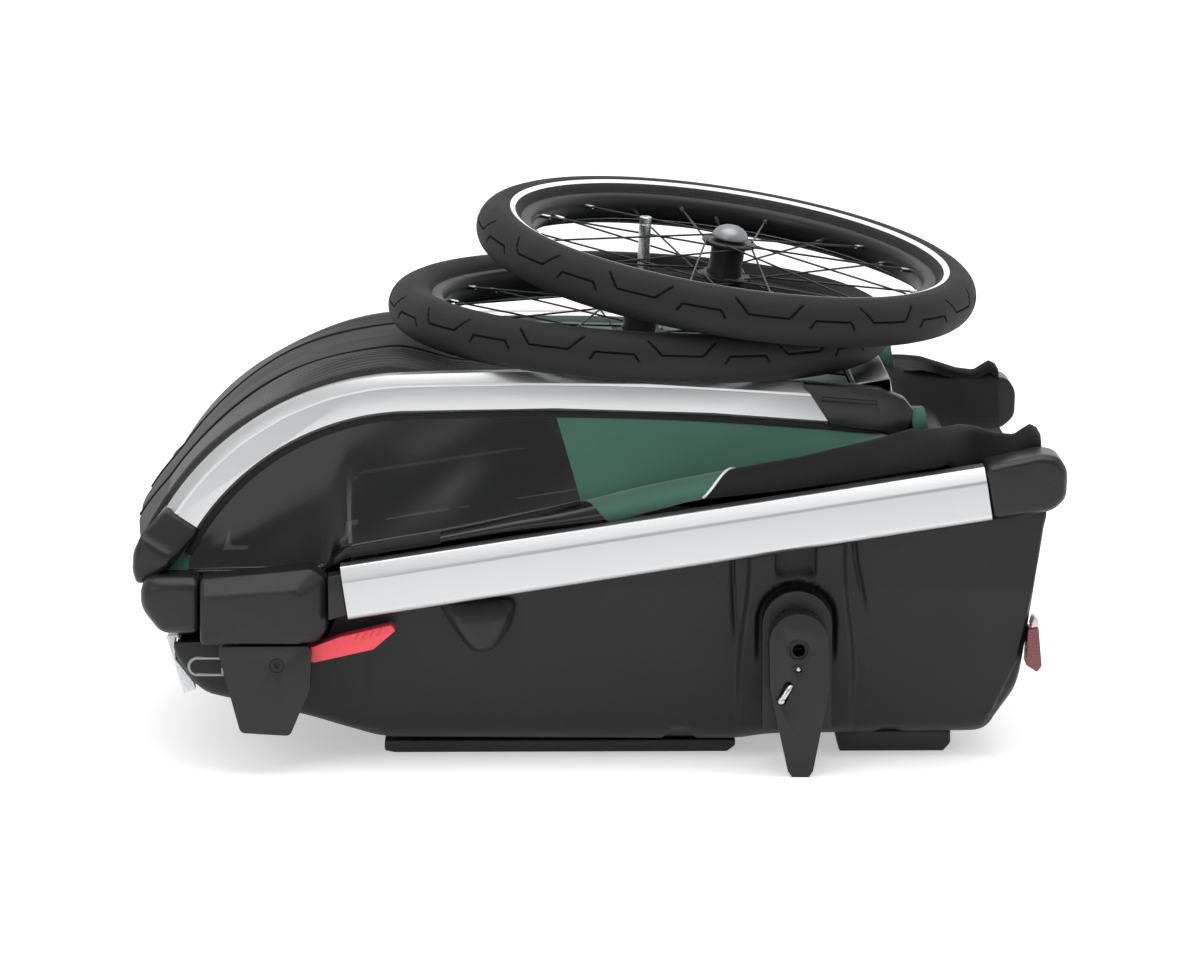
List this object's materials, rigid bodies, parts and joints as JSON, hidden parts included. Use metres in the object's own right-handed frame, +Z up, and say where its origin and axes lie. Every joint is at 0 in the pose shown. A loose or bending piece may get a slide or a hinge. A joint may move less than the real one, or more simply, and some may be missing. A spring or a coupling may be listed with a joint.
{
  "type": "child bicycle trailer",
  "caption": "Folded child trailer: moulded tub on silver side rails, curved roof frame with fabric lying inside it, and both spoked wheels stacked loose on the roof.",
  "frame": {"origin": "on the ground, under the centre of the folded trailer", "axes": "+X to the rear, drawbar end is -X; +Y to the trailer's right-hand side; +Z up"},
  "size_m": [0.888, 0.674, 0.5298],
  "materials": {
    "tub_plastic": "moulded black plastic, fine grain",
    "black_plastic": "moulded black plastic, smooth",
    "rubber_black": "soft black rubber",
    "aluminium_satin": "satin anodised",
    "dark_metal": "black powder coat",
    "steel": "zinc-plated steel",
    "chrome": "polished",
    "lever_red": "coral red plastic, satin",
    "lamp_red": "red prismatic reflector",
    "reflector_clear": "clear prismatic reflector",
    "fabric_black": "woven black polyester",
    "fabric_green": "woven sage green polyester",
    "tyre": "dark grey rubber tread",
    "rim_black": "black anodised",
    "buffer": "elastomer"
  },
  "bodies": {
    "root": {"tub": "tub_plastic", "floor_skids": "black_plastic", "lower_rail_left": "aluminium_satin", "lower_rail_right": "aluminium_satin", "rail_necks": "rubber_black", "rear_cap_left": "black_plastic", "rear_cap_right": "black_plastic", "front_block_left": "black_plastic", "front_block_right": "black_plastic", "front_bumper": "black_plastic", "coupling_leg_left": "black_plastic", "coupling_leg_right": "black_plastic", "coupling_bolts": "dark_metal", "lower_cross_tubes": "dark_metal", "suspension_housings": "black_plastic", "suspension_buffers": "buffer", "recess_covers": "black_plastic", "tail_lights": "lamp_red", "front_reflectors": "reflector_clear", "pivot_pins": "steel", "seat_base": "fabric_black", "seat_back": "fabric_black", "rear_panel": "fabric_black"},
    "roof": {"roof_rail_left": "aluminium_satin", "roof_rail_right": "aluminium_satin", "rail_foot_left": "black_plastic", "rail_foot_right": "black_plastic", "roof_end_cap_left": "black_plastic", "roof_end_cap_right": "black_plastic", "roof_cross_bars": "aluminium_satin", "stay_pins": "steel", "roof_cover": "fabric_black", "side_panel_left": "fabric_green", "side_panel_right": "fabric_green"},
    "release_lever_left": {"release_lever_left": "lever_red"},
    "wire_bail_left": {"wire_bail_left": "chrome"},
    "wheel_leg_left": {"wheel_leg_left": "black_plastic", "axle_bush_left": "dark_metal"},
    "brake_pin_left": {"brake_pin_left": "steel"},
    "lower_stay_left": {"lower_stay_left": "steel"},
    "upper_stay_left": {"upper_stay_left": "steel"},
    "release_lever_right": {"release_lever_right": "lever_red"},
    "wire_bail_right": {"wire_bail_right": "chrome"},
    "wheel_leg_right": {"wheel_leg_right": "black_plastic", "axle_bush_right": "dark_metal"},
    "brake_pin_right": {"brake_pin_right": "steel"},
    "lower_stay_right": {"lower_stay_right": "steel"},
    "upper_stay_right": {"upper_stay_right": "steel"},
    "lower_wheel": {"lower_tyre": "tyre", "lower_rim": "rim_black", "lower_spokes": "dark_metal", "lower_hub": "rim_black"},
    "lower_axle": {"lower_axle": "steel"},
    "lower_hub_button": {"lower_hub_button": "chrome"},
    "upper_wheel": {"upper_tyre": "tyre", "upper_rim": "rim_black", "upper_spokes": "dark_metal", "upper_hub": "rim_black"},
    "upper_axle": {"upper_axle": "steel"},
    "upper_hub_button": {"upper_hub_button": "chrome"}
  },
  "joints": [
    {"name": "roof_fold", "type": "hinge", "parent": "root", "child": "roof", "pos_m": [-0.42, 0, 0.2], "axis": [0, -1, 0], "range_deg": [0, 34]},
    {"name": "lower_stay_left_swing", "type": "hinge", "parent": "root", "child": "lower_stay_left", "pos_m": [0.14, -0.2125, 0.233], "axis": [0, 1, 0], "range_deg": [0, 29.87]},
    {"name": "upper_stay_left_swing", "type": "hinge", "parent": "roof", "child": "upper_stay_left", "pos_m": [0.12, -0.2185, 0.345], "axis": [0, -1, 0], "range_deg": [0, 28.47]},
    {"name": "release_lever_left_press", "type": "hinge", "parent": "root", "child": "release_lever_left", "pos_m": [-0.281, -0.289, 0.115], "axis": [0, 1, 0], "range_deg": [0, 12], "stiffness_Nm_per_rad": 0.5, "springref_deg": -11.46},
    {"name": "wire_bail_left_swing", "type": "hinge", "parent": "root", "child": "wire_bail_left", "pos_m": [-0.357, -0.296, 0.1025], "axis": [0, 0, 1], "range_deg": [-40, 40]},
    {"name": "wheel_leg_left_suspension", "type": "slide", "parent": "root", "child": "wheel_leg_left", "axis": [0, 0, 1], "range_m": [0, 0.018], "stiffness_N_per_m": 6000, "springref_m": -0.008},
    {"name": "brake_pin_left_slide", "type": "slide", "parent": "wheel_leg_left", "child": "brake_pin_left", "axis": [0.3939, 0, 0.9191], "range_m": [-0.005, 0.005]},
    {"name": "lower_stay_right_swing", "type": "hinge", "parent": "root", "child": "lower_stay_right", "pos_m": [0.14, 0.2125, 0.233], "axis": [0, 1, 0], "range_deg": [0, 29.87]},
    {"name": "upper_stay_right_swing", "type": "hinge", "parent": "roof", "child": "upper_stay_right", "pos_m": [0.12, 0.2185, 0.345], "axis": [0, -1, 0], "range_deg": [0, 28.47]},
    {"name": "release_lever_right_press", "type": "hinge", "parent": "root", "child": "release_lever_right", "pos_m": [-0.281, 0.289, 0.115], "axis": [0, 1, 0], "range_deg": [0, 12], "stiffness_Nm_per_rad": 0.5, "springref_deg": -11.46},
    {"name": "wire_bail_right_swing", "type": "hinge", "parent": "root", "child": "wire_bail_right", "pos_m": [-0.357, 0.296, 0.1025], "axis": [0, 0, 1], "range_deg": [-40, 40]},
    {"name": "wheel_leg_right_suspension", "type": "slide", "parent": "root", "child": "wheel_leg_right", "axis": [0, 0, 1], "range_m": [0, 0.018], "stiffness_N_per_m": 6000, "springref_m": -0.008},
    {"name": "brake_pin_right_slide", "type": "slide", "parent": "wheel_leg_right", "child": "brake_pin_right", "axis": [0.3939, 0, 0.9191], "range_m": [-0.005, 0.005]},
    {"name": "lower_wheel_lift", "type": "slide", "parent": "roof", "child": "lower_wheel", "axis": [0, 0, 1], "range_m": [0, 0.1]},
    {"name": "upper_wheel_lift", "type": "slide", "parent": "lower_wheel", "child": "upper_wheel", "axis": [0.1549, -0.1392, 0.9781], "range_m": [0, 0.2]},
    {"name": "lower_axle_spin", "type": "hinge", "parent": "lower_wheel", "child": "lower_axle", "pos_m": [0.045, -0.0575, 0.409], "axis": [0.0505, -0.0558, 0.9972], "continuous": true},
    {"name": "upper_axle_spin", "type": "hinge", "parent": "upper_wheel", "child": "upper_axle", "pos_m": [0.1295, -0.059, 0.4641], "axis": [-0.1485, 0.1149, -0.9822], "continuous": true},
    {"name": "lower_hub_button_press", "type": "slide", "parent": "lower_wheel", "child": "lower_hub_button", "axis": [0.0505, -0.0558, 0.9972], "range_m": [0, 0.002], "stiffness_N_per_m": 600, "springref_m": -0.002},
    {"name": "upper_hub_button_press", "type": "slide", "parent": "upper_wheel", "child": "upper_hub_button", "axis": [-0.1485, 0.1149, -0.9822], "range_m": [0, 0.002], "stiffness_N_per_m": 600, "springref_m": -0.002}
  ],
  "couplings": [
    {"joint": "lower_stay_left_swing", "follows": "roof_fold", "ratio": 0.86971},
    {"joint": "upper_stay_left_swing", "follows": "roof_fold", "ratio": 0.82857},
    {"joint": "lower_stay_right_swing", "follows": "roof_fold", "ratio": 0.86971},
    {"joint": "upper_stay_right_swing", "follows": "roof_fold", "ratio": 0.82857}
  ]
}
